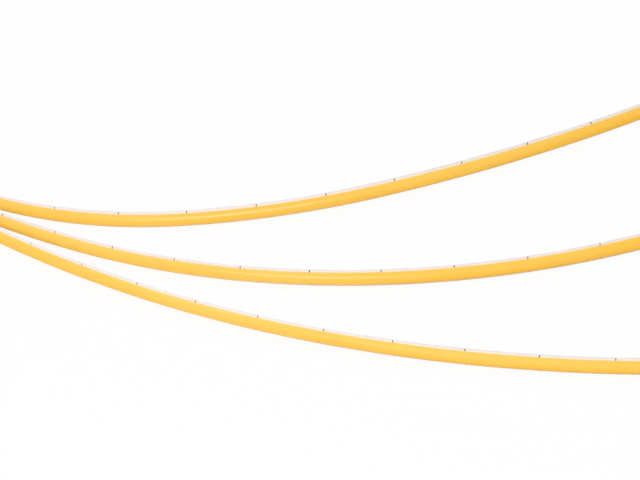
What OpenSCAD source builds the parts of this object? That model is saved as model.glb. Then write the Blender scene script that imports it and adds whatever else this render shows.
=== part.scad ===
// COB LED strip: a white flexible circuit with one continuous phosphor bead, cut marks at
// every cut unit and an adhesive back. It stands on its long edge in loose, open turns.
// Millimetres, +Z up. The origin is at the middle of its footprint.

/* [Circuit] */
// Width of the flexible circuit, which is its height on edge
strip_w = 5; // [5:0.5:12]
// Length of one factory circuit
circuit_len = 500; // [480:5:520]
// Number of circuits soldered end to end
circuits = 6; // [3:1:6]
// Gap between the ends of two circuits
joint_gap = 0.1; // [0.05:0.05:0.3]
// Number of cut units in one circuit
units = 25; // [20:1:28]

/* [Layers] */
// Thickness of the white cover film
cover_t = 0.1; // [0.08:0.01:0.15]
// Thickness of the copper rails and of the bond ply beside them
copper_t = 0.07; // [0.05:0.01:0.1]
// Thickness of the base film
base_t = 0.13; // [0.08:0.01:0.25]
// Thickness of the adhesive tape
tape_t = 0.2; // [0.1:0.05:0.3]
// Thickness of the release liner
liner_t = 0.15; // [0.08:0.01:0.2]
// Width of the bond ply between a copper rail and the edge of the circuit
rail_edge = 0.5; // [0.3:0.1:0.8]
// Gap between the two copper rails
rail_gap = 0.6; // [0.4:0.1:1]

/* [Phosphor bead] */
// Bare margin between the bead and each edge of the circuit
margin = 0.6; // [0.4:0.1:0.8]
// Height of the bead above the cover film
bead_h = 1.9; // [1.4:0.1:2.4]
// Glue line between the cover film and the foot of the bead
glue_line = 0.08; // [0.07:0.01:0.15]
// Clearance round the chips and resistors in the groove of the bead
groove_gap = 0.12; // [0.08:0.02:0.2]
// Number of flats across the dome of the bead
dome_flats = 10; // [6:1:12]

/* [Components] */
// Number of LED chips in one cut unit
unit_chips = 6; // [4:1:8]
// Length of a chip along the strip
chip_l = 0.9; // [0.5:0.1:1]
// Width of a chip
chip_w = 0.5; // [0.3:0.1:0.6]
// Height of a chip
chip_h = 0.25; // [0.15:0.05:0.35]
// Length of a resistor along the strip
resistor_l = 1; // [0.6:0.1:1]
// Width of a resistor
resistor_w = 0.5; // [0.3:0.1:0.6]
// Height of a resistor
resistor_h = 0.35; // [0.25:0.05:0.45]

/* [Pads and marks] */
// Length of a solder pad, across its cut line
pad_l = 2; // [1.6:0.1:2.4]
// Width of a solder pad
pad_w = 1; // [0.6:0.1:1.2]
// Thickness of a solder pad
pad_t = 0.05; // [0.03:0.01:0.06]
// Length of the solder over the joint of two circuits
solder_l = 2.6; // [2.2:0.1:3]
// Thickness of the solder over a joint
solder_t = 0.06; // [0.04:0.01:0.065]
// Width of a printed cut mark
mark_w = 0.35; // [0.2:0.05:0.6]
// Thickness of the ink of a cut mark
mark_t = 0.06; // [0.03:0.01:0.065]
// Distance kept by a cut mark from the bead and from the lower edge
mark_gap = 0.05; // [0.02:0.01:0.1]

/* [Turns] */
// Bend radius of the free outer end
outer_r = 290; // [260:10:400]
// Number of straight chords that one circuit is laid out in
circuit_chords = 32; // [24:8:48]

/* [Hidden] */
// Bend radius and run of the free inner end, from its tip to the first front run
inner_arcs = [[90, 141.9], [110, 90], [64, 30]];
// Start and heading of the front runs, inner turn first
front_start = [[-89.3, 39.8, -36.7], [-89.3, 30.9, -42.5], [-89.3, 22.4, -47.3]];
// Bend radius and run of the arcs of each front run
front_arcs = [
    [[120, 56.9], [193, 56.4], [379, 93.8]],
    [[324, 29.8], [207, 96.4]],
    [[433, 48], [345, 134.7]]
];
// Bend radii of the loops that lead from one front run round to the next
loop_radii = [[111, 174, 110], [197, 222, 191]];

circuit_pieces = ["base_film", "bond_ply", "copper_rails", "cover_film", "led_chips"];

all_units = circuits * units;
cut_pitch = circuit_len / units;
chip_pitch = cut_pitch / unit_chips;
strip_len = circuits * circuit_len;
chord = circuit_len / circuit_chords;
bends = circuits * circuit_chords;  // the chords meet half a chord away from each joint

mid_z = strip_w / 2;
rail_z = (mid_z - rail_edge + rail_gap / 2) / 2;  // from the middle of the strip to that of a rail
foot_z = mid_z - margin;  // half the width of the bead
groove_z = max(chip_w, resistor_w) / 2 + groove_gap;
groove_h = max(chip_h, resistor_h) + groove_gap;

// Depths behind the face of the cover film
cover_back = cover_t;
copper_back = cover_back + copper_t;
base_back = copper_back + base_t;
tape_back = base_back + tape_t;
liner_back = tape_back + liner_t;

// ---- Route: a pose is [x, y, heading]; every arc bends to the left ----

function turned(p, r, run) = let (t = p[2] + run / r * 180 / PI)
    [p[0] + r * (sin(t) - sin(p[2])), p[1] - r * (cos(t) - cos(p[2])), t];

function end_of(p, arcs, i = 0) =
    i == len(arcs) ? p : end_of(turned(p, arcs[i][0], arcs[i][1]), arcs, i + 1);

function start_of(p, arcs, i) =
    i < 0 ? p : start_of(turned(p, arcs[i][0], -arcs[i][1]), arcs, i - 1);

function centre(p, r) = [p[0] - r * sin(p[2]), p[1] + r * cos(p[2])];

function arc_run(r, from, to) = let (t = to - from) r * (t - 360 * floor(t / 360)) * PI / 180;

// Three tangent arcs from pose a round to pose b: the circle of the middle one touches the
// circles of the other two from outside, so its centre lies where two circles cross.
function loop_arcs(a, b, radii) = let (
    ca = centre(a, radii[0]),
    cb = centre(b, radii[2]),
    ra = radii[1] - radii[0],
    rb = radii[1] - radii[2],
    d = norm(cb - ca),
    u = (cb - ca) / d,
    x = (d * d + ra * ra - rb * rb) / (2 * d),
    cm = ca + x * u + sqrt(ra * ra - x * x) * [-u[1], u[0]],
    ha = atan2(ca[1] - cm[1], ca[0] - cm[0]) + 90,
    hb = atan2(cb[1] - cm[1], cb[0] - cm[0]) + 90
) [
    [radii[0], arc_run(radii[0], a[2], ha)],
    [radii[1], arc_run(radii[1], ha, hb)],
    [radii[2], arc_run(radii[2], hb, b[2])]
];

front_end = [for (i = [0:2]) end_of(front_start[i], front_arcs[i])];
route_start = start_of(front_start[0], inner_arcs, len(inner_arcs) - 1);
route_arcs = concat(
    inner_arcs,
    front_arcs[0], loop_arcs(front_end[0], front_start[1], loop_radii[0]),
    front_arcs[1], loop_arcs(front_end[1], front_start[2], loop_radii[1]),
    front_arcs[2], [[outer_r, strip_len]]
);

function poses_of(p, s, i = 0) = i == len(route_arcs) ? [] :
    concat([[s, p, route_arcs[i][0]]],
        poses_of(turned(p, route_arcs[i][0], route_arcs[i][1]), s + route_arcs[i][1], i + 1));
route = poses_of(route_start, 0);

function pose_at(s, i = 0) =
    i + 1 < len(route) && route[i + 1][0] <= s ? pose_at(s, i + 1)
    : turned(route[i][1], route[i][2], s - route[i][0]);

// A point d outside the face of the cover film, or behind it where d is negative
function beside(p, d) = [p[0] + d * sin(p[2]), p[1] - d * cos(p[2])];

// Distance along the strip of its ends, and of the bends between them
function station_s(i) = i == 0 ? 0 : i > bends ? strip_len : (i - 0.5) * chord;

laid_out = [for (i = [0:bends + 1]) pose_at(station_s(i))];
corners = [for (p = laid_out, d = [-liner_back, bead_h]) beside(p, d)];
middle = [for (k = [0, 1]) (min([for (c = corners) c[k]]) + max([for (c = corners) c[k]])) / 2];
stations = [for (p = laid_out) [p[0] - middle[0], p[1] - middle[1], p[2]]];

// The pose on the straight chord that holds the point s along the strip
function seat(s) = let (
    i = min(floor(s / chord + 0.5), bends),
    a = stations[i],
    b = stations[i + 1],
    t = (s - station_s(i)) / (station_s(i + 1) - station_s(i))
) [a[0] + t * (b[0] - a[0]), a[1] + t * (b[1] - a[1]), atan2(b[1] - a[1], b[0] - a[0])];

// ---- Building blocks ----

function circuit_stations(c) = concat(
    [seat((c - 1) * circuit_len + joint_gap / 2)],
    [for (i = [1:circuit_chords]) stations[(c - 1) * circuit_chords + i]],
    [seat(c * circuit_len - joint_gap / 2)]
);

// A layer of the laminate between two depths behind the face, and between two heights
module layer(along, front, back, low, high) {
    n = len(along);
    translate([0, 0, low])
        linear_extrude(high - low)
            polygon(concat(
                [for (i = [0:n - 1]) beside(along[i], -front)],
                [for (i = [n - 1:-1:0]) beside(along[i], -back)]
            ));
}

// A flat block on the face of the cover film, centred at s along the strip and z up it
module on_face(s, z, size_l, size_w, size_t) {
    p = seat(s);
    translate([p[0], p[1], z - size_w / 2])
        rotate([0, 0, p[2]])
            translate([-size_l / 2, -size_t, 0])
                cube([size_l, size_t, size_w]);
}

// A printed mark of a given outline [depth in front of the face, height] on a cut line
module on_cut_line(unit, outline) {
    p = seat(unit * cut_pitch);
    translate([p[0], p[1], 0])
        rotate([90, 0, p[2] - 90])
            translate([0, 0, -mark_w / 2])
                linear_extrude(mark_w)
                    polygon(outline);
}

function is_joint(unit) = unit % units == 0;

// ---- Pieces of one circuit, c = 1 to circuits ----

module base_film(c)
    color("ivory") layer(circuit_stations(c), copper_back, base_back, 0, strip_w);

module bond_ply(c) {
    along = circuit_stations(c);
    color("wheat") {
        layer(along, cover_back, copper_back, 0, rail_edge);
        layer(along, cover_back, copper_back, mid_z - rail_gap / 2, mid_z + rail_gap / 2);
        layer(along, cover_back, copper_back, strip_w - rail_edge, strip_w);
    }
}

module copper_rails(c) {
    along = circuit_stations(c);
    color("peru") {
        layer(along, cover_back, copper_back, rail_edge, mid_z - rail_gap / 2);
        layer(along, cover_back, copper_back, mid_z + rail_gap / 2, strip_w - rail_edge);
    }
}

module cover_film(c)
    color("white") layer(circuit_stations(c), 0, cover_back, 0, strip_w);

module led_chips(c) {
    first = (c - 1) * units * unit_chips;
    color("skyblue")
        for (i = [0:units * unit_chips - 1])
            on_face((first + i + 0.5) * chip_pitch, mid_z, chip_l, chip_w, chip_h);
}

// ---- Pieces of the whole strip ----

// The bead's section as [in front of the face, height]: a dome over a foot with a groove
dome_r = (foot_z * foot_z + pow(bead_h - glue_line, 2)) / (2 * (bead_h - glue_line));
dome_half = atan2(foot_z, dome_r - bead_h + glue_line);
bead_section = concat(
    [for (i = [0:dome_flats]) let (a = dome_half * (2 * i / dome_flats - 1))
        [bead_h - dome_r + dome_r * cos(a), mid_z + dome_r * sin(a)]],
    [[glue_line, mid_z + groove_z], [groove_h, mid_z + groove_z],
     [groove_h, mid_z - groove_z], [glue_line, mid_z - groove_z]]
);

module phosphor_bead() {
    n = len(bead_section);
    crown = floor(dome_flats / 2);
    roof = dome_flats + 2;  // upper corner of the groove's roof, followed by the lower one
    end_face = concat(
        [for (j = [0:crown - 1]) [j, j + 1, roof + 1]],
        [[crown, roof, roof + 1]],
        [for (j = [crown:dome_flats]) [j, j + 1, roof]],
        [[roof + 2, 0, roof + 1]]
    );
    points = [for (p = stations, q = bead_section) concat(beside(p, q[0]), [q[1]])];
    sides = [for (i = [0:bends], j = [0:n - 1]) let (
        a = i * n + j,
        b = i * n + (j + 1) % n
    ) each [[a, b, b + n], [a, b + n, a + n]]];
    near_end = [for (t = end_face) [t[2], t[1], t[0]]];
    far_end = [for (t = end_face) [for (k = t) k + (bends + 1) * n]];
    color("gold") polyhedron(points, concat(sides, near_end, far_end));
}

module adhesive_tape()
    color("gainsboro") layer(stations, base_back, tape_back, 0, strip_w);

module release_liner()
    color("linen") layer(stations, tape_back, liner_back, 0, strip_w);

// One series resistor stands near the middle of each cut unit, between two chips
module resistors()
    color("dimgray")
        for (u = [0:all_units - 1])
            on_face(u * cut_pitch + floor(unit_chips / 2) * chip_pitch, mid_z,
                    resistor_l, resistor_w, resistor_h);

// A pad lies across each cut line over both rails, and half a pad at each end of the strip
module solder_pads()
    color("darkgoldenrod")
        for (u = [0:all_units], side = [-1, 1])
            if (u == 0)
                on_face(pad_l / 4, mid_z + side * rail_z, pad_l / 2, pad_w, pad_t);
            else if (u == all_units)
                on_face(u * cut_pitch - pad_l / 4, mid_z + side * rail_z, pad_l / 2, pad_w, pad_t);
            else if (!is_joint(u))
                on_face(u * cut_pitch, mid_z + side * rail_z, pad_l, pad_w, pad_t);

module solder_joints()
    color("silver")
        for (c = [1:circuits - 1], side = [-1, 1])
            on_face(c * circuit_len, mid_z + side * rail_z, solder_l, pad_w, solder_t);

// The upper marks cross the margin and turn over the edge of the circuit
module cut_marks_upper()
    color("dimgray")
        for (u = [1:all_units - 1])
            on_cut_line(u, [
                [0, strip_w - margin + mark_gap], [mark_t, strip_w - margin + mark_gap],
                [mark_t, strip_w + mark_t], [-base_back, strip_w + mark_t],
                [-base_back, strip_w], [0, strip_w]
            ]);

module cut_marks_lower()
    color("dimgray")
        for (u = [1:all_units - 1])
            on_cut_line(u, [
                [0, mark_gap], [mark_t, mark_gap],
                [mark_t, margin - mark_gap], [0, margin - mark_gap]
            ]);

for (c = [1:circuits]) {
    base_film(c);
    bond_ply(c);
    copper_rails(c);
    cover_film(c);
    led_chips(c);
}
phosphor_bead();
adhesive_tape();
release_liner();
resistors();
solder_pads();
solder_joints();
cut_marks_upper();
cut_marks_lower();
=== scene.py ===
import math

import bmesh
import bpy
import numpy as np
from mathutils import Matrix, Vector


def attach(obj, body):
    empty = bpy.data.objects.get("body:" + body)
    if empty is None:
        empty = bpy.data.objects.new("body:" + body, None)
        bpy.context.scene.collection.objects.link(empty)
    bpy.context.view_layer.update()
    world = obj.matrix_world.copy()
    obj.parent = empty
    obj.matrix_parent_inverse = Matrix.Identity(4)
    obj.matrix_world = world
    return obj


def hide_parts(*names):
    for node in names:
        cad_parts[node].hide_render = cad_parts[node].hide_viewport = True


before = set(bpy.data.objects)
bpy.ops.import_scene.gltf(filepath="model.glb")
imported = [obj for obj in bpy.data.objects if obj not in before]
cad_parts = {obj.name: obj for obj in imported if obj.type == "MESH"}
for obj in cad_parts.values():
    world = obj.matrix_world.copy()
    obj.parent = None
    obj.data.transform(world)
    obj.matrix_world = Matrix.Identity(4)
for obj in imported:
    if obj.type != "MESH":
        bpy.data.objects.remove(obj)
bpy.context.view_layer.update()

mm = 0.001

# Every arc is (bend radius, run) and bends to the left. A front run starts at (x, y, heading).
stripLine = {
    "innerEnd": [(90, 141.9), (110, 90), (64, 30)],
    "frontStarts": [(-89.3, 39.8, -36.7), (-89.3, 30.9, -42.5), (-89.3, 22.4, -47.3)],
    "frontArcs": [
        [(120, 56.9), (193, 56.4), (379, 93.8)],
        [(324, 29.8), (207, 96.4)],
        [(433, 48), (345, 134.7)],
    ],
    "loopRadii": [(111, 174, 110), (197, 222, 191)],
    "outerRadius": 290,
}
circuit = {
    "width": 5,
    "length": 500,
    "count": 6,
    "units": 25,        # cut units in each circuit
    "jointGap": 0.1,    # between the films of two circuits
    "chords": 32,       # straight stretches that the CAD has in each circuit
}
stripLength = circuit["length"] * circuit["count"]
cutPitch = circuit["length"] / circuit["units"]
cutLines = cutPitch * np.arange(1, circuit["count"] * circuit["units"])
middleHeight = circuit["width"] / 2

# Depths of the layers' backs behind the face of the cover film
layerBacks = {"face": 0, "cover": 0.1, "copper": 0.17, "base": 0.3, "tape": 0.5, "liner": 0.65}
beadHeight = 1.9


def turned(pose, radius, run):
    place, heading = pose
    after = heading + run / radius
    return place - 1j * radius * (np.exp(1j * after) - np.exp(1j * heading)), after


def endOf(pose, arcs):
    for radius, run in arcs:
        pose = turned(pose, radius, run)
    return pose


def bendCentre(pose, radius):
    place, heading = pose
    return place + 1j * radius * np.exp(1j * heading)


# Three touching arcs that lead from one pose round to the next
def loopArcs(start, end, radii):
    first, last = bendCentre(start, radii[0]), bendCentre(end, radii[2])
    nearFirst, nearLast = radii[1] - radii[0], radii[1] - radii[2]
    apart = abs(last - first)
    towards = (last - first) / apart
    inLine = (apart**2 + nearFirst**2 - nearLast**2) / (2 * apart)
    centre = first + towards * (inLine + 1j * math.sqrt(nearFirst**2 - inLine**2))
    joins = [np.angle(outer - centre) + math.pi / 2 for outer in (first, last)]
    headings = [start[1], *joins, end[1]]
    turns = [(after - before) % (2 * math.pi) for before, after in zip(headings, headings[1:])]
    return [(r, r * turn) for r, turn in zip(radii, turns)]


def layOut():
    starts = [(x + 1j * y, math.radians(heading)) for x, y, heading in stripLine["frontStarts"]]
    pose = starts[0]
    for radius, run in reversed(stripLine["innerEnd"]):
        pose = turned(pose, radius, -run)
    arcs = list(stripLine["innerEnd"])
    for k, front in enumerate(stripLine["frontArcs"]):
        arcs += front
        if k < len(stripLine["loopRadii"]):
            arcs += loopArcs(endOf(starts[k], front), starts[k + 1], stripLine["loopRadii"][k])
    arcs.append((stripLine["outerRadius"], stripLength))
    rows = []
    along = 0
    for radius, run in arcs:
        rows.append((along, pose[0], pose[1], radius))
        pose = turned(pose, radius, run)
        along += run
    return [np.array(column) for column in zip(*rows)]


arcAlong, arcPlace, arcHeading, arcRadius = layOut()


def poseAt(along):
    k = np.searchsorted(arcAlong, along, side="right").clip(1) - 1
    heading = arcHeading[k] + (along - arcAlong[k]) / arcRadius[k]
    place = arcPlace[k] - 1j * arcRadius[k] * (np.exp(1j * heading) - np.exp(1j * arcHeading[k]))
    return place, heading


# The CAD is laid out in straight chords, and its footprint is centred on the origin
def layoutMiddle():
    chord = circuit["length"] / circuit["chords"]
    inner = (np.arange(circuit["count"] * circuit["chords"]) + 0.5) * chord
    place, heading = poseAt(np.concatenate([[0], inner, [stripLength]]))
    depths = (-layerBacks["liner"], beadHeight)
    sides = np.concatenate([place - 1j * depth * np.exp(1j * heading) for depth in depths])
    return (sides.real.min() + sides.real.max()) / 2 + 1j * (sides.imag.min() + sides.imag.max()) / 2


stripMiddle = layoutMiddle()


# From (along the strip, in front of the film's face, height) to metres in the frame
def onStrip(along, front, height):
    place, heading = poseAt(along)
    spot = place - 1j * front * np.exp(1j * heading) - stripMiddle
    return np.stack([spot.real, spot.imag, height], axis=-1) * mm


# A wave between -1 and 1 that never quite repeats, because its lengths are no multiples of each other
def ripple(along, wavelength, seed):
    waves = [np.sin(2 * np.pi * along / (wavelength * k) + seed * k) for k in (1, 1.618, 2.83)]
    return sum(waves) / len(waves)


print("line of the strip laid out, middle at", stripMiddle)


# A socket on its way through a material: Python arithmetic on it adds Math nodes
class Wire:
    def __init__(self, shop, socket):
        self.shop = shop
        self.socket = socket

    def maths(self, operation, first, second):
        return self.shop.add("ShaderNodeMath", {"operation": operation}, {0: first, 1: second})

    def __add__(self, other):
        return self.maths("ADD", self, other)

    def __sub__(self, other):
        return self.maths("SUBTRACT", self, other)

    def __rsub__(self, other):
        return self.maths("SUBTRACT", other, self)

    def __mul__(self, other):
        return self.maths("MULTIPLY", self, other)

    __radd__ = __add__
    __rmul__ = __mul__


# A node tree under construction: add() makes any node, the rest are everyday combinations of it
class NodeShop:
    def __init__(self, owner):
        owner.use_nodes = True
        self.tree = owner.node_tree
        self.tree.nodes.clear()

    # Settings come first, because some of them change the node's sockets
    def add(self, kind, settings=None, inputs=None, output=0):
        node = self.tree.nodes.new(kind)
        for key, value in (settings or {}).items():
            setattr(node, key, value)
        for key, value in (inputs or {}).items():
            if isinstance(value, Wire):
                self.tree.links.new(value.socket, node.inputs[key])
            else:
                node.inputs[key].default_value = value
        return Wire(self, node.outputs[output]) if node.outputs else None

    # Sockets 6 and 7 take the colours, and socket 2 gives the mix
    def mix(self, factor, first, second):
        settings = {"data_type": "RGBA", "blend_type": "MIX"}
        first, second = ((*shade, 1) if isinstance(shade, tuple) else shade for shade in (first, second))
        return self.add("ShaderNodeMix", settings, {0: factor, 6: first, 7: second}, output=2)

    # How far a point lies across the coil from its middle, in millimetres
    def across(self):
        place = self.add("ShaderNodeTexCoord", output="Object")
        return self.add("ShaderNodeSeparateXYZ", {}, {0: place}, output="X") * (1 / mm)

    # Where a point lies on the strip, in millimetres: along it, in front of the film's face, height
    def stripPlace(self):
        return self.add("ShaderNodeAttribute", {"attribute_name": "stripPlace"}, output="Vector")

    def inFront(self):
        return self.add("ShaderNodeSeparateXYZ", {}, {0: self.stripPlace()}, output="Y")

    def height(self):
        return self.add("ShaderNodeSeparateXYZ", {}, {0: self.stripPlace()}, output="Z")

    # Noise on the strip itself: grain is its size (along, front, height) in millimetres
    def noise(self, grain, detail=2.0, shift=0.0):
        scale = tuple(1 / g for g in grain)
        inputs = {"Vector": self.stripPlace(), "Location": (shift, shift, shift), "Scale": scale}
        scaled = self.add("ShaderNodeMapping", {"vector_type": "POINT"}, inputs)
        inputs = {"Vector": scaled, "Scale": 1.0, "Detail": detail, "Roughness": 0.55}
        return self.add("ShaderNodeTexNoise", {}, inputs)

    # Distance to the nearest of many specks
    def specks(self, perMillimetre):
        inputs = {"Vector": self.stripPlace(), "Scale": perMillimetre}
        return self.add("ShaderNodeTexVoronoi", {"feature": "F1"}, inputs)

    # Rises from 0 at low to 1 at high
    def band(self, value, low, high):
        return self.add("ShaderNodeMapRange", {}, {"Value": value, "From Min": low, "From Max": high})

    # A relief is (strength, height in metres)
    def bump(self, height, relief, under=None):
        inputs = {"Height": height, "Strength": relief[0], "Distance": relief[1]}
        if under:
            inputs["Normal"] = under
        return self.add("ShaderNodeBump", {}, inputs)

    def surface(self, inputs):
        shader = self.add("ShaderNodeBsdfPrincipled", {}, inputs)
        self.add("ShaderNodeOutputMaterial", {}, {"Surface": shader})


def newFinish(name):
    material = bpy.data.materials.new(name)
    return material, NodeShop(material)


def times(factor, values):
    return tuple(factor * value for value in values)


# In all finishes colours are linear, and grain sizes are (along, front, height) in millimetres
phosphorLook = {
    "deep": (0.93, 0.47, 0.022),
    "body": (0.975, 0.53, 0.032),
    "pale": (0.985, 0.605, 0.105),
    "clouds": (46, 6, 6),
    "cloudy": (0.35, 0.7),          # values of the noise over which clouds set in
    "cloudsPaler": 0.45,
    "paintedTopLightHeights": (0.8, 4.2),            # heights over which painted light makes the bead paler towards its top
    "paintedTopLight": 0.55,
    "paintedShadeRightFrom": (-150, -95),      # x over which painted shade makes the bead a little deeper towards the right
    "paintedShadeRight": 0.27,
    "paintedLightLeftTo": (-222, -165),         # x over which the painted light ends that keeps the lower side as pale as the upper, where the run in front shades it
    "paintedLightLeft": 0.5,
    "grains": (0.16, 0.16, 0.16),
    "grainy": (0.5, 0.8),
    "grainsDeeper": 0.22,
    "grainRelief": (0.22, 0.00004),
    "grainRoughness": 0.05,
    "specksPerMm": 1.7,
    "speck": (0.03, 0.11),          # how far from its middle a speck ends, in spacings of the specks
    "specksPaler": 0.25,
    "foot": (0.985, 0.74, 0.34),    # thin silicone over white film
    "footRise": 0.62,               # how far off the film it thickens to the body's shade
    "footShown": 0.8,
    "swell": (9, 2.2, 2.2),         # unevenness from the dispensing nozzle
    "swellRelief": (0.35, 0.0003),
    "satin": 0.58,
    "rubbed": 0.25,                 # roughness where the coil is held
    "holdAt": (-158, 52),           # x of the middle of that place and its reach
    "refraction": 1.5,
    "glow": 0.12,
    "glowReach": 0.0007,
    "glowSpread": (1.0, 0.55, 0.15),
}


def phosphorSilicone():
    look = phosphorLook
    material, shop = newFinish("phosphorSilicone")
    clouds = shop.noise(look["clouds"], detail=3.0)
    grains = shop.noise(look["grains"], detail=1.0, shift=7.0)
    specks = shop.specks(look["specksPerMm"])
    thin = 1 - shop.band(shop.inFront(), 0.0, look["footRise"])
    # Painted light and shade: the bead's colour is paler high up and deeper low down, as if lit from
    # above
    height = shop.band(shop.height(), *look["paintedTopLightHeights"])
    across = shop.across()
    paler = shop.band(clouds, *look["cloudy"]) * look["cloudsPaler"] + height * look["paintedTopLight"]
    # Painted shade: the bead turns deeper to the right, standing in for less light and sheen there
    paler = paler - shop.band(across, *look["paintedShadeRightFrom"]) * look["paintedShadeRight"]
    # Painted light: at the far left the lower side of the bead is made paler, against the shade of the
    # run in front
    paler = paler + (1 - shop.band(across, *look["paintedLightLeftTo"])) * (1 - height) * look["paintedLightLeft"]
    colour = shop.mix(paler, look["body"], look["pale"])
    colour = shop.mix(shop.band(grains, *look["grainy"]) * look["grainsDeeper"], colour, look["deep"])
    colour = shop.mix((1 - shop.band(specks, *look["speck"])) * look["specksPaler"], colour, look["pale"])
    colour = shop.mix(thin * thin * look["footShown"], colour, look["foot"])
    centre, reach = look["holdAt"]
    core = reach / 3    # rubbed in full this far from the centre
    held = shop.band(across, centre - reach, centre - core)
    held = held * (1 - shop.band(across, centre + core, centre + reach))
    swell = shop.noise(look["swell"], detail=2.0, shift=3.0)
    rubbing = (look["rubbed"] - look["satin"]) * held
    shop.surface({
        "Base Color": colour,
        "Roughness": look["satin"] + rubbing + look["grainRoughness"] * grains,
        "Normal": shop.bump(grains, look["grainRelief"], under=shop.bump(swell, look["swellRelief"])),
        "IOR": look["refraction"],
        "Subsurface Weight": look["glow"],
        "Subsurface Scale": look["glowReach"],
        "Subsurface Radius": look["glowSpread"],
    })
    return material


sheetLooks = {
    "cover": {
        "name": "coverFilmWhite", "roughness": 0.42, "grain": 0.5, "relief": (0.3, 0.00003),
        "face": (0.98, 0.93, 0.87), "edge": (0.92, 0.87, 0.87), "mottle": (0.95, 0.90, 0.83),
    },
    "base": {
        "name": "baseFilmIvory", "roughness": 0.45, "grain": 0.6, "relief": (0.3, 0.00003),
        "face": (0.86, 0.82, 0.74), "edge": (0.89, 0.86, 0.86), "mottle": (0.83, 0.80, 0.76),
    },
    "ply": {
        "name": "bondPlyAmber", "roughness": 0.5, "grain": 0.4, "relief": (0.3, 0.00002),
        "face": (0.66, 0.54, 0.33), "edge": (0.80, 0.74, 0.67), "mottle": (0.66, 0.58, 0.48),
    },
    "tape": {
        "name": "tapeMilky", "roughness": 0.6, "grain": 0.8, "relief": (0.3, 0.00005),
        "face": (0.86, 0.84, 0.82), "edge": (0.82, 0.77, 0.80), "mottle": (0.78, 0.74, 0.75),
    },
    "liner": {
        "name": "linerPaper", "roughness": 0.55, "grain": 0.9, "relief": (0.3, 0.00004), "fibres": 0.35,
        "face": (0.95, 0.93, 0.89), "edge": (0.83, 0.79, 0.81), "mottle": (0.90, 0.87, 0.82),
    },
}
sheetWear = {
    "clouds": (9, 3, 3),            # in grains of the sheet
    "cloudy": (0.35, 0.75),
    "fine": (1, 1, 0.7),            # in grains of the sheet
    "rim": (0.012, 0.06),           # how far from a slit edge its rim ends
    "knife": (0.12, 0.4, 0.4),
    "nicked": (0.52, 0.72),
    "nicksShown": 0.4,
    "strands": (1.8, 0.09, 0.09),
    "matted": (0.45, 0.7),
    "strandRelief": 0.6,
    "dust": (0.55, 0.50, 0.45),
    "paintedShadeFrom": (-170, -105),       # x over which painted shade sets in towards the right
    "dustOnFace": 0.1,
    "paintedShadeOnRim": 0.08,
    "cloudRoughness": 0.12,
    "rimRoughness": 0.12,
    "refraction": 1.5,
}


# A thin sheet whose long edges show a second, duller shade where the slitting knife went
def slitSheet(look):
    wear = sheetWear
    material, shop = newFinish(look["name"])
    clouds = shop.noise(times(look["grain"], wear["clouds"]), detail=3.0)
    fine = shop.noise(times(look["grain"], wear["fine"]), detail=2.0, shift=4.0)
    height, width = shop.height(), circuit["width"]
    near, far = wear["rim"]
    rim = shop.band(height, width - far, width - near) + 1 - shop.band(height, near, far)
    colour = shop.mix(shop.band(clouds, *wear["cloudy"]), look["face"], look["mottle"])
    colour = shop.mix(rim, colour, look["edge"])
    knife = shop.noise(wear["knife"], detail=1.0, shift=11.0)
    nicks = rim * shop.band(knife, *wear["nicked"]) * wear["nicksShown"]
    colour = shop.mix(nicks, colour, look["mottle"])
    if "fibres" in look:
        strands = shop.noise(wear["strands"], detail=3.0, shift=2.0)
        colour = shop.mix(shop.band(strands, *wear["matted"]) * look["fibres"], colour, look["mottle"])
        fine = fine + strands * wear["strandRelief"]
    # Painted shade: the sheets' faces, and more so their rims, darken towards the right, where the light
    # falls off
    paintedShade = shop.band(shop.across(), *wear["paintedShadeFrom"]) * (wear["dustOnFace"] + rim * wear["paintedShadeOnRim"])
    colour = shop.mix(paintedShade, colour, wear["dust"])
    shop.surface({
        "Base Color": colour,
        "Roughness": look["roughness"] + wear["cloudRoughness"] * clouds + wear["rimRoughness"] * rim,
        "Normal": shop.bump(fine + rim * knife, look["relief"]),
        "IOR": wear["refraction"],
    })
    return material


foilLooks = {
    "copper": {
        "name": "rolledCopper", "roughness": 0.28, "grain": 0.2, "brushed": (12, 1, 0.5),
        "clean": (0.83, 0.43, 0.27), "dull": (0.50, 0.24, 0.15),
    },
    "pad": {
        "name": "goldWashedPad", "roughness": 0.3, "grain": 0.15, "brushed": (3, 1, 0.5),
        "clean": (0.80, 0.58, 0.30), "dull": (0.55, 0.36, 0.16),
    },
    "solder": {
        "name": "reflowedSolder", "roughness": 0.25, "grain": 0.3, "brushed": (1, 1, 0.5),
        "clean": (0.72, 0.71, 0.69), "dull": (0.42, 0.42, 0.43),
    },
}
foilWear = {
    "tarnish": (6, 4, 4),           # in grains of the metal, as the brushing is
    "tarnished": (0.4, 0.7),
    "tarnishRoughness": 0.2,
    "relief": (0.35, 0.00002),
}


def foilMetal(look):
    material, shop = newFinish(look["name"])
    tarnish = shop.noise(times(look["grain"], foilWear["tarnish"]), detail=4.0)
    rolled = shop.noise(times(look["grain"], look["brushed"]), detail=3.0, shift=5.0)
    shop.surface({
        "Base Color": shop.mix(shop.band(tarnish, *foilWear["tarnished"]), look["clean"], look["dull"]),
        "Metallic": 1.0,
        "Roughness": look["roughness"] + foilWear["tarnishRoughness"] * tarnish,
        "Normal": shop.bump(rolled, foilWear["relief"]),
    })
    return material


inkLook = {
    "fresh": (0.065, 0.047, 0.04),
    "worn": (0.19, 0.15, 0.125),
    "faded": (0.36, 0.31, 0.285),
    "fadedTo": (-215, -178),        # x over which the ink stops being faded
    "fadedShown": 0.6,
    "wear": (0.16, 0.16, 0.16),
    "wornFrom": (0.4, 0.75),
    "screen": (0.05, 0.05, 0.05),
    "relief": (0.4, 0.00001),
    "roughness": 0.5,
    "wornRoughness": 0.25,
}


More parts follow.
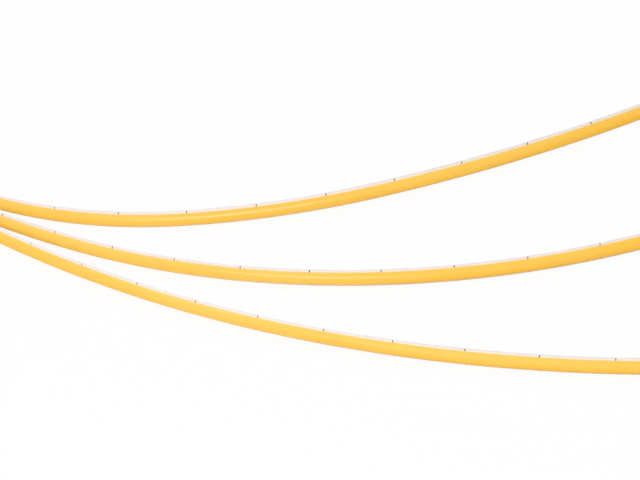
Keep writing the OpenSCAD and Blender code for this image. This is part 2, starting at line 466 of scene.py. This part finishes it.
def printedInk():
    look = inkLook
    material, shop = newFinish("printedInk")
    worn = shop.noise(look["wear"], detail=4.0)
    screen = shop.noise(look["screen"], detail=1.0, shift=9.0)
    faded = (1 - shop.band(shop.across(), *look["fadedTo"])) * look["fadedShown"]
    colour = shop.mix(shop.band(worn, *look["wornFrom"]), look["fresh"], look["worn"])
    shop.surface({
        "Base Color": shop.mix(faded, colour, look["faded"]),
        "Roughness": look["roughness"] + look["wornRoughness"] * worn,
        "Normal": shop.bump(screen, look["relief"]),
    })
    return material


glazeLooks = {
    "chip": {
        "name": "ledChip", "roughness": 0.2,
        "body": (0.62, 0.60, 0.55), "glaze": (0.30, 0.42, 0.62),
    },
    "resistor": {
        "name": "filmResistor", "roughness": 0.25,
        "body": (0.55, 0.54, 0.52), "glaze": (0.012, 0.012, 0.014),
    },
}
glazeWear = {
    "glazedFrom": (0.14, 0.2),      # distances from the film over which the glaze sets in
    "flecks": (0.09, 0.09, 0.09),
    "flecked": (0.4, 0.7),
    "fleckShade": 0.8,
    "fleckRoughness": 0.05,
    "bareRoughness": 0.35,
    "coat": 0.6,
    "relief": (0.3, 0.00001),
}


def glazedChip(look):
    wear = glazeWear
    material, shop = newFinish(look["name"])
    flecks = shop.noise(wear["flecks"], detail=3.0)
    top = shop.band(shop.inFront(), *wear["glazedFrom"])
    fleck = times(wear["fleckShade"], look["body"])
    body = shop.mix(shop.band(flecks, *wear["flecked"]), look["body"], fleck)
    bare = wear["bareRoughness"] * (1 - top)
    shop.surface({
        "Base Color": shop.mix(top, body, look["glaze"]),
        "Roughness": look["roughness"] + bare + wear["fleckRoughness"] * flecks,
        "Normal": shop.bump(flecks, wear["relief"]),
        "Coat Weight": top * wear["coat"],
    })
    return material


finishes = {"phosphor": phosphorSilicone()}
for kind, look in sheetLooks.items():
    finishes[kind] = slitSheet(look)
for kind, look in foilLooks.items():
    finishes[kind] = foilMetal(look)
finishes["ink"] = printedInk()
for kind, look in glazeLooks.items():
    finishes[kind] = glazedChip(look)
print("finishes ready:", len(finishes))


# Collects a piece's points by their place on the strip, in millimetres, and its faces
class StripPiece:
    def __init__(self):
        self.places = []
        self.faces = []
        self.total = 0

    # Closed rings joined in order, with both ends filled: rings is (ring, point, place)
    def join(self, rings):
        count, size = rings.shape[:2]
        ids = self.total + np.arange(count * size).reshape(count, size)
        beside = np.roll(ids, -1, axis=1)
        sides = np.stack([ids[:-1], beside[:-1], beside[1:], ids[1:]], axis=-1)
        self.faces += sides.reshape(-1, 4).tolist()
        self.faces += [ids[0][::-1].tolist(), ids[-1].tolist()]
        self.places.append(rings.reshape(-1, 3))
        self.total += count * size

    # A section of (front, height) points carried along; reshape may move them at each station
    def sweep(self, stations, section, reshape=None):
        front, height = np.array(section).T
        along = np.repeat(stations[:, None], len(section), axis=1)
        front, height = (np.repeat(part[None], len(stations), axis=0) for part in (front, height))
        if reshape:
            front, height = reshape(along, front, height)
        self.join(np.stack([along, front, height], axis=-1))

    # A block built up from the film: levels of (front, half length, half height), corners cut
    def stack(self, along, height, levels, cut):
        rings = []
        for front, a, b in levels:
            corners = [(a - cut, b), (a, b - cut), (a, cut - b), (a - cut, -b)]
            corners += [(-x, -y) for x, y in corners]
            rings.append([(along + x, front, height + y) for x, y in corners])
        self.join(np.array(rings))

    # Edges that turn by more than the angle sharpest stay sharp
    def finish(self, name, kind, nodes, slotName, sharpest=40):
        places = np.concatenate(self.places)
        mesh = bpy.data.meshes.new(name)
        mesh.from_pydata(onStrip(*places.T).tolist(), [], self.faces)
        spots = mesh.attributes.new("stripPlace", "FLOAT_VECTOR", "POINT")
        spots.data.foreach_set("vector", places.astype(np.float32).ravel())
        shell = bmesh.new()
        shell.from_mesh(mesh)
        bmesh.ops.recalc_face_normals(shell, faces=shell.faces)
        shell.to_mesh(mesh)
        shell.free()
        mesh.polygons.foreach_set("use_smooth", [True] * len(mesh.polygons))
        mesh.set_sharp_from_angle(angle=math.radians(sharpest))
        mesh.materials.append(finishes[kind])
        piece = bpy.data.objects.new(name, mesh)
        bpy.context.scene.collection.objects.link(piece)
        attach(piece, "root")
        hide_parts(*nodes)
        print(name, "made of", len(mesh.polygons), "faces")


layers = {
    "step": 4,            # between the rings along the strip
    "corner": 0.015,
    "setBack": {"cover": 0.0, "ply": 0.008, "base": 0.0, "tape": 0.015, "liner": 0.008},
    "wander": {"cover": 0.006, "ply": 0.004, "base": 0.006, "tape": 0.012, "liner": 0.008},
    "wanderWave": 31,
    "standing": 0.4,      # share of both at the lower edge, which the strip stands on
}
rails = {"edge": 0.5, "gap": 0.6}    # film beside the two rails, and between them


# A flat band from the back of one layer to the back of another, with its corners cut
def bandSection(front, back, low, high):
    front, back = layerBacks[front], layerBacks[back]
    c = layers["corner"]
    return [
        (-front - c, low), (-front, low + c), (-front, high - c), (-front - c, high),
        (-back + c, high), (-back, high - c), (-back, low + c), (-back + c, low),
    ]


# Long edges that stay inside the nominal width: set back a little, and wandering a little more
def trimmedEdges(kind, seed):
    def reshape(along, front, height):
        wandering = 1 + ripple(along, layers["wanderWave"], seed)
        inset = layers["setBack"][kind] + layers["wander"][kind] * wandering / 2
        upper = np.clip(height, None, circuit["width"] - inset)
        return front, np.clip(upper, inset * layers["standing"], None)
    return reshape


# Even stations from start to end, with as many steps as the nominal length holds
def stationsBetween(start, end, length, step):
    return np.linspace(start, end, round(length / step) + 1)


def makeCircuit(number):
    gap = circuit["jointGap"] / 2
    start, end = (number - 1) * circuit["length"] + gap, number * circuit["length"] - gap
    stations = stationsBetween(start, end, circuit["length"], layers["step"])
    width = circuit["width"]
    rims = [0, rails["edge"], middleHeight - rails["gap"] / 2]
    rims += [width - rim for rim in reversed(rims)]
    cover, ply, copper, base = (StripPiece() for _ in range(4))
    cover.sweep(stations, bandSection("face", "cover", 0, width), trimmedEdges("cover", seed=number))
    for low, high in (rims[0:2], rims[2:4], rims[4:6]):
        ply.sweep(stations, bandSection("cover", "copper", low, high), trimmedEdges("ply", seed=number))
    for low, high in (rims[1:3], rims[3:5]):
        copper.sweep(stations, bandSection("cover", "copper", low, high))
    base.sweep(stations, bandSection("copper", "base", 0, width), trimmedEdges("base", seed=number + 9))
    cover.finish(f"coverFilm{number}", "cover", [f"cover_film_{number}"], "cover_film")
    ply.finish(f"bondPly{number}", "ply", [f"bond_ply_{number}"], "bond_ply")
    copper.finish(f"copperRails{number}", "copper", [f"copper_rails_{number}"], "copper")
    base.finish(f"baseFilm{number}", "base", [f"base_film_{number}"], "base_film")


def makeBacking(name, kind, front, node, slotName):
    stations = stationsBetween(0, stripLength, stripLength, layers["step"])
    backing = StripPiece()
    backing.sweep(stations, bandSection(front, kind, 0, circuit["width"]), trimmedEdges(kind, seed=5))
    backing.finish(name, kind, [node], slotName)


for number in range(1, circuit["count"] + 1):
    makeCircuit(number)
makeBacking("adhesiveTape", "tape", "base", "adhesive_tape", "adhesive_tape")
makeBacking("releaseLiner", "liner", "tape", "release_liner", "release_liner")
print("circuits, tape and liner laid")


bead = {
    "step": 2.5,            # between the rings along the strip
    "halfWidth": 1.9,
    "flats": 18,
    "meniscus": 0.04,       # reach of the silicone that wets the film beside the bead
    "wetting": [(0.04, 0.35), (0.012, 1), (0, 1)],    # its outline: (front, share of that reach)
    "skirt": 0.22,          # width of the seal between the film and the foot, inside the meniscus
    "glueLine": 0.08,
    "grooveHalf": 0.37,
    "grooveDepth": 0.47,
    "sag": 0.035,           # how much lower the crown gets in places
    "sagWave": 17,
    "wander": 0.03,         # how far the bead strays up and down the film
    "wanderWave": 43,
    "footWander": 0.35,     # share of that at the foot
    "drift": 0.1,           # and how far the nozzle drifts, over a longer wave
    "driftWave": 593,
    "driftPeak": 1300,
}


def beadSection():
    rise = beadHeight - bead["glueLine"]
    radius = (bead["halfWidth"]**2 + rise**2) / (2 * rise)
    spread = math.atan2(bead["halfWidth"], radius - rise)
    angles = np.linspace(-spread, spread, bead["flats"] + 1)
    dome = [(beadHeight - radius + radius * math.cos(a), radius * math.sin(a)) for a in angles]
    foot, glue, groove = bead["halfWidth"], bead["glueLine"], bead["grooveHalf"]
    inner = foot - bead["skirt"]
    side = [(front, foot + share * bead["meniscus"]) for front, share in bead["wetting"]]
    side += [(0, inner), (glue, inner), (glue, groove), (bead["grooveDepth"], groove)]
    section = dome + side + [(front, -height) for front, height in reversed(side)]
    return [(front, height + middleHeight) for front, height in section]


# The whole bead drifts with the nozzle, but for the faces inside it that lie over the chips
def beadRipple(along, front, height):
    share = np.clip(front / beadHeight, 0, 1)
    drop = bead["sag"] * share * (1 + ripple(along, bead["sagWave"], seed=2.0)) / 2
    looser = np.clip(share * 2, bead["footWander"], 1)
    stray = bead["wander"] * ripple(along, bead["wanderWave"], seed=4.0) * looser
    stray += bead["drift"] * np.cos(2 * np.pi * (along - bead["driftPeak"]) / bead["driftWave"])
    crown = front > bead["grooveDepth"]
    outside = crown | (np.abs(height - middleHeight) > bead["halfWidth"] - bead["skirt"] / 2)
    return front - np.where(crown, drop, 0), height + np.where(outside, stray, 0)


phosphorBead = StripPiece()
phosphorBead.sweep(stationsBetween(0, stripLength, stripLength, bead["step"]), beadSection(), beadRipple)
phosphorBead.finish("phosphorBead", "phosphor", ["phosphor_bead"], "phosphor", sharpest=50)


# Chips and resistors are built up in levels of (front, half length, half height)
chips = {
    "perUnit": 6,
    "levels": [
        (0.0, 0.45, 0.25), (0.1, 0.45, 0.25),
        (0.11, 0.37, 0.19), (0.23, 0.37, 0.19), (0.25, 0.35, 0.17),
    ],
    "cut": 0.03,    # off the corners
}
resistors = {
    "afterChips": 3,
    "levels": [(0.0, 0.5, 0.25), (0.3, 0.5, 0.25), (0.33, 0.47, 0.22), (0.35, 0.3, 0.2)],
    "cut": 0.03,
}
chipPitch = cutPitch / chips["perUnit"]


def makeChips(number):
    ledChips = StripPiece()
    perCircuit = circuit["units"] * chips["perUnit"]
    for k in range((number - 1) * perCircuit, number * perCircuit):
        ledChips.stack((k + 0.5) * chipPitch, middleHeight, chips["levels"], chips["cut"])
    ledChips.finish(f"ledChips{number}", "chip", [f"led_chips_{number}"], "led_chip")


def makeResistors():
    seriesResistors = StripPiece()
    for unit in range(circuit["count"] * circuit["units"]):
        along = unit * cutPitch + resistors["afterChips"] * chipPitch
        seriesResistors.stack(along, middleHeight, resistors["levels"], resistors["cut"])
    seriesResistors.finish("seriesResistors", "resistor", ["resistors"], "resistor")


for number in range(1, circuit["count"] + 1):
    makeChips(number)
makeResistors()


# A cut is what the corners of a pad or joint lose
pads = {"length": 2.0, "width": 1.0, "thickness": 0.05, "cut": 0.12, "endCut": 0.06}
joints = {"length": 2.6, "width": 1.0, "thickness": 0.06, "cut": 0.25}
poolRim = {
    "upright": 0.6,     # share of the thickness that stands straight
    "drawnIn": 0.08,    # how far the rest slopes in
}
railOffset = (middleHeight - rails["edge"] + rails["gap"] / 2) / 2
railHeights = [middleHeight + side * railOffset for side in (-1, 1)]


# A thin pool of metal, with its rim drawn in
def pool(length, width, thickness):
    a, b = length / 2, width / 2
    slope = poolRim["drawnIn"]
    return [(0.0, a, b), (poolRim["upright"] * thickness, a, b), (thickness, a - slope, b - slope)]


# A pad lies across every cut line, and the strip's ends have half a pad each
def makePads():
    whole = pool(pads["length"], pads["width"], pads["thickness"])
    half = pool(pads["length"] / 2, pads["width"], pads["thickness"])
    solderPads = StripPiece()
    for height in railHeights:
        for end in (pads["length"] / 4, stripLength - pads["length"] / 4):
            solderPads.stack(end, height, half, pads["endCut"])
        for along in cutLines:
            if along % circuit["length"]:    # where circuits meet there is solder instead
                solderPads.stack(along, height, whole, pads["cut"])
    solderPads.finish("solderPads", "pad", ["solder_pads"], "solder_pad")


def makeJoints():
    solderJoints = StripPiece()
    for height in railHeights:
        for number in range(1, circuit["count"]):
            levels = pool(joints["length"], joints["width"], joints["thickness"])
            solderJoints.stack(number * circuit["length"], height, levels, joints["cut"])
    solderJoints.finish("solderJoints", "solder", ["solder_joints"], "solder")


makePads()
makeJoints()
print("chips, resistors, pads and solder set under the bead")


marks = {
    "width": 0.28,
    "uneven": (0.07, 2.3),  # share by which the width varies, and its step from mark to mark
    "lean": (0.03, 1.3),    # the same for how far the ends lean along the strip
    "ink": 0.014,           # thickness of the print
    "sunk": 0.02,           # how deep it keys into the film
    "margin": 0.6,          # bare film beside the bead
    "gap": 0.05,            # between a mark and the bead's foot
    "soft": 0.05,           # width of the thin ink at both sides of a mark
    "thin": 0.2,            # share of the thickness that is left there
    "shoulder": 0.7,        # share of it where the ink turns over the film's edge
    "stray": 0.16,          # how far from the film's edge a lower mark ends at most
    "strayWave": 3400,
    "strayPeak": 800,
}


# The outline is carried across the mark, and drawn in at both sides as wet ink dries
def printMark(piece, along, outline, seed):
    uneven, lean = (amount * math.sin(step * seed) for amount, step in (marks["uneven"], marks["lean"]))
    half = marks["width"] / 2 * (1 + uneven)
    soft = half - marks["soft"]
    top = circuit["width"] + marks["thin"] * marks["ink"]
    thin = [
        (front * marks["thin"] if front > 0 else front, min(height, top))
        for front, height in outline
    ]
    rings = []
    for offset, shape in ((-half, thin), (-soft, outline), (soft, outline), (half, thin)):
        rings.append([
            (along + offset + lean * (height - middleHeight) / middleHeight, front, height)
            for front, height in shape
        ])
    piece.join(np.array(rings))


def makeMarks():
    upperMarks, lowerMarks = StripPiece(), StripPiece()
    ink, sunk, back, top = marks["ink"], marks["sunk"], layerBacks["base"], circuit["width"]
    shoulder = marks["shoulder"] * ink
    reach = marks["margin"] - marks["gap"]
    upperStart = top - marks["margin"] + marks["gap"]
    overTheEdge = [
        (-sunk, upperStart), (ink, upperStart), (ink, top), (shoulder, top + shoulder),
        (0, top + ink), (-back, top + ink), (-back, top - sunk), (-sunk, top - sunk),
    ]
    for seed, along in enumerate(cutLines):
        wave = math.cos(2 * math.pi * (along - marks["strayPeak"]) / marks["strayWave"])
        low = marks["stray"] * (1 + wave) / 2
        printMark(upperMarks, along, overTheEdge, seed)
        printMark(lowerMarks, along, [(-sunk, low), (ink, low), (ink, reach), (-sunk, reach)], seed)
    upperMarks.finish("cutMarksUpper", "ink", ["cut_marks_upper"], "mark_ink", sharpest=60)
    lowerMarks.finish("cutMarksLower", "ink", ["cut_marks_lower"], "mark_ink", sharpest=60)


makeMarks()


studio = {
    "floorSize": 9.0,
    "floorShade": (0.9, 0.9, 0.9, 1),
    "white": (1, 1, 1, 1),
    "floorGlow": 0.92,               # share of the floor that is plain white to the camera
    "skyStrength": 0.43,
    "lamps": [
        # name, width, depth, power, azimuth from the camera's side, elevation, distance
        ("keySoftbox", 0.42, 0.16, 0.9, -26, 50, 0.55),
        ("frontSoftbox", 1.6, 1.6, 15, -20, 39, 2.4),
        ("rightSoftbox", 1.6, 1.6, 11.5, 110, 42, 2.4),
        ("leftSoftbox", 1.6, 1.6, 11.5, -145, 42, 2.4),
    ],
    "target": (-139.13, -135.22),    # the point on the floor that the camera looks at
    "cameraDistance": 840,
    "cameraElevation": 35,
    "cameraRoll": 9,
    "lens": 168.75,
    "sensor": 36,
    "clipStart": 0.01,
}
target = Vector((studio["target"][0] * mm, studio["target"][1] * mm, 0))


# 1 where the camera looks at a surface itself, in a mirror or through glass
def seenRays(shop):
    camera = shop.add("ShaderNodeLightPath", {}, output="Is Camera Ray")
    glossy = shop.add("ShaderNodeLightPath", {}, output="Is Glossy Ray")
    through = shop.add("ShaderNodeLightPath", {}, output="Is Transmission Ray")
    return camera + glossy + through


def makeFloor():
    half = studio["floorSize"] / 2
    mesh = bpy.data.meshes.new("studioFloor")
    corners = [(-half, -half, 0), (half, -half, 0), (half, half, 0), (-half, half, 0)]
    mesh.from_pydata(corners, [], [(0, 1, 2, 3)])
    material, shop = newFinish("floorWhite")
    matt = shop.add("ShaderNodeBsdfDiffuse", {}, {"Color": studio["floorShade"]})
    white = shop.add("ShaderNodeEmission", {}, {"Color": studio["white"], "Strength": 1.0})
    seen = seenRays(shop) * studio["floorGlow"]
    both = shop.add("ShaderNodeMixShader", {}, {0: seen, 1: matt, 2: white})
    shop.add("ShaderNodeOutputMaterial", {}, {"Surface": both})
    mesh.materials.append(material)
    floor = bpy.data.objects.new("studioFloor", mesh)
    bpy.context.scene.collection.objects.link(floor)


def makeWorld():
    world = bpy.data.worlds.new("studioWorld")
    bpy.context.scene.world = world
    shop = NodeShop(world)
    plain = studio["white"]
    sky = shop.add("ShaderNodeBackground", {}, {"Color": plain, "Strength": studio["skyStrength"]})
    white = shop.add("ShaderNodeBackground", {}, {"Color": plain, "Strength": 1.0})
    both = shop.add("ShaderNodeMixShader", {}, {0: seenRays(shop), 1: sky, 2: white})
    shop.add("ShaderNodeOutputWorld", {}, {"Surface": both})


def makeLamps():
    for name, width, depth, power, azimuth, elevation, distance in studio["lamps"]:
        lamp = bpy.data.lights.new(name, "AREA")
        lamp.shape = "RECTANGLE"
        lamp.size = width
        lamp.size_y = depth
        lamp.energy = power
        az, el = math.radians(azimuth - 90), math.radians(elevation)
        away = Vector((math.cos(az) * math.cos(el), math.sin(az) * math.cos(el), math.sin(el)))
        holder = bpy.data.objects.new(name, lamp)
        holder.location = target + away * distance
        holder.rotation_euler = away.to_track_quat("Z", "Y").to_euler()
        bpy.context.scene.collection.objects.link(holder)


def makeCamera():
    elevation, roll = math.radians(studio["cameraElevation"]), math.radians(studio["cameraRoll"])
    ahead = Vector((0, math.cos(elevation), -math.sin(elevation)))
    right = Vector((1, 0, 0))
    down = ahead.cross(right)
    turnedRight = right * math.cos(roll) + down * math.sin(roll)
    turnedDown = down * math.cos(roll) - right * math.sin(roll)
    lens = bpy.data.cameras.new("stripCamera")
    lens.lens = studio["lens"]
    lens.sensor_width = studio["sensor"]
    lens.clip_start = studio["clipStart"]
    camera = bpy.data.objects.new("stripCamera", lens)
    axes = Matrix((turnedRight, -turnedDown, -ahead)).transposed().to_4x4()
    camera.matrix_world = Matrix.Translation(target - ahead * studio["cameraDistance"] * mm) @ axes
    bpy.context.scene.collection.objects.link(camera)
    bpy.context.scene.camera = camera


makeFloor()
makeWorld()
makeLamps()
makeCamera()
bpy.context.scene.view_settings.view_transform = "Standard"
print("studio set")
